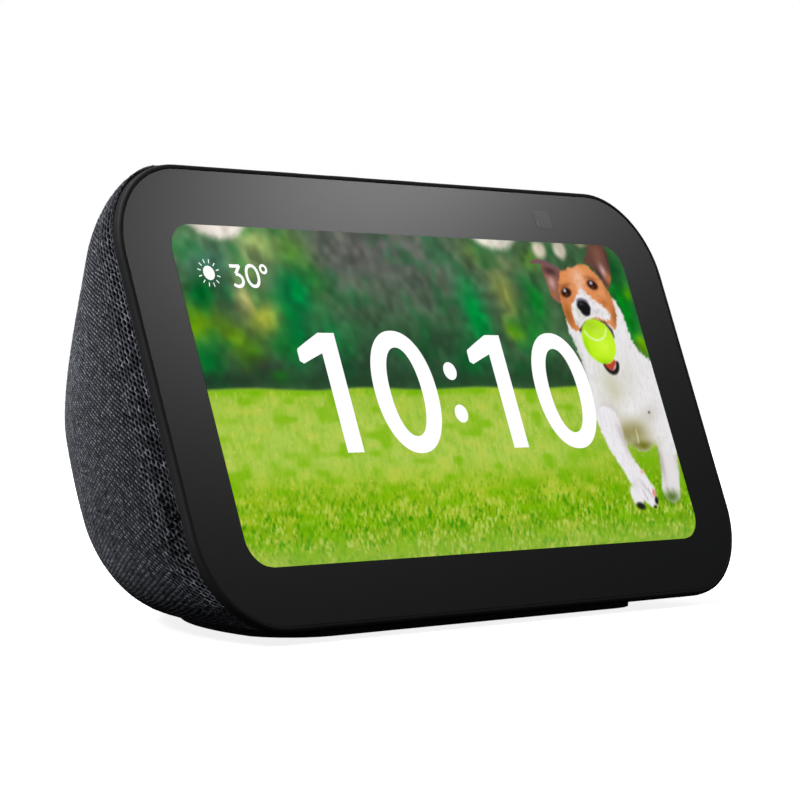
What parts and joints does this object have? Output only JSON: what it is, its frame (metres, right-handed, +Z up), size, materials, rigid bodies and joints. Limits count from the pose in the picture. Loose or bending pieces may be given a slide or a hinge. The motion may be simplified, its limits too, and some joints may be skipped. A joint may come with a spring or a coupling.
{
  "type": "smart display speaker",
  "caption": "Tabletop smart speaker with a tilted glass screen, a knitted fabric body, top keys, a camera cover slide and a rubber foot.",
  "frame": {"origin": "middle of the bounding box's underside, on the table", "axes": "+X to the right as the user sees the screen, -Y towards the user, +Z up"},
  "size_m": [0.147, 0.0906, 0.082],
  "materials": {
    "cover_glass": "gloss, black border printed behind",
    "bezel_plastic": "fine matte",
    "display_cell": "lit picture under glass",
    "white_plastic": "matte",
    "steel": "plain",
    "flex_film": "satin",
    "lens_glass": "coated",
    "black_plastic": "matte",
    "key_plastic": "satin",
    "circuit_board": "solder mask",
    "black_rubber": "matte",
    "knit_fabric": "open honeycomb knit, melange yarn",
    "housing_plastic": "moulded",
    "foot_rubber": "matte",
    "ferrite": "sintered",
    "copper_wire": "enamelled wire",
    "cone_fibre": "pressed fibre",
    "spider_cloth": "resin-treated weave",
    "lead_cover": "satin",
    "pad_rubber": "soft",
    "aluminium": "rolled",
    "brass": "plated"
  },
  "bodies": {
    "chassis": {"cover_glass": "cover_glass", "front_bezel": "bezel_plastic", "display_panel": "display_cell", "backlight_unit": "white_plastic", "display_bracket": "steel", "bracket_screws": "steel", "display_flex": "flex_film", "camera_lens": "lens_glass", "camera_module": "black_plastic", "light_sensor": "black_plastic", "key_strip": "bezel_plastic", "key_board": "circuit_board", "key_domes": "steel", "microphone_boots": "black_rubber", "fabric_wrap": "knit_fabric", "rear_housing": "housing_plastic", "base_plate": "housing_plastic", "base_screws": "steel", "rubber_foot": "foot_rubber", "speaker_box": "housing_plastic", "speaker_gasket": "black_rubber", "speaker_basket": "steel", "speaker_screws": "steel", "speaker_yoke": "steel", "speaker_magnet": "ferrite", "speaker_top_plate": "steel", "speaker_surround": "black_rubber", "speaker_spider": "spider_cloth", "speaker_lead": "lead_cover", "main_board": "circuit_board", "board_screws": "steel", "board_shields": "steel", "thermal_pads": "pad_rubber", "heat_spreader": "aluminium", "antenna_boards": "circuit_board", "power_jack": "black_plastic", "jack_pin": "brass", "jack_bezel": "bezel_plastic", "power_lead": "lead_cover"},
    "camera_off_key": {"camera_off_key": "key_plastic"},
    "volume_down_key": {"volume_down_key": "key_plastic"},
    "volume_up_key": {"volume_up_key": "key_plastic"},
    "camera_cover": {"camera_shutter": "key_plastic"},
    "cone": {"voice_coil": "copper_wire", "speaker_cone": "cone_fibre", "dust_cap": "cone_fibre"}
  },
  "joints": [
    {"name": "camera_off_press", "type": "slide", "parent": "chassis", "child": "camera_off_key", "axis": [0, -0.1392, -0.9903], "range_m": [0, 0.0004], "stiffness_N_per_m": 1500},
    {"name": "volume_down_press", "type": "slide", "parent": "chassis", "child": "volume_down_key", "axis": [0, -0.1392, -0.9903], "range_m": [0, 0.0004], "stiffness_N_per_m": 1500},
    {"name": "volume_up_press", "type": "slide", "parent": "chassis", "child": "volume_up_key", "axis": [0, -0.1392, -0.9903], "range_m": [0, 0.0004], "stiffness_N_per_m": 1500},
    {"name": "camera_cover_slide", "type": "slide", "parent": "chassis", "child": "camera_cover", "axis": [1, 0, 0], "range_m": [0, 0.0065]},
    {"name": "cone_stroke", "type": "slide", "parent": "chassis", "child": "cone", "axis": [0, 1, 0], "range_m": [-0.0015, 0.0015], "stiffness_N_per_m": 1000, "deforming": ["speaker_surround", "speaker_spider"]}
  ]
}
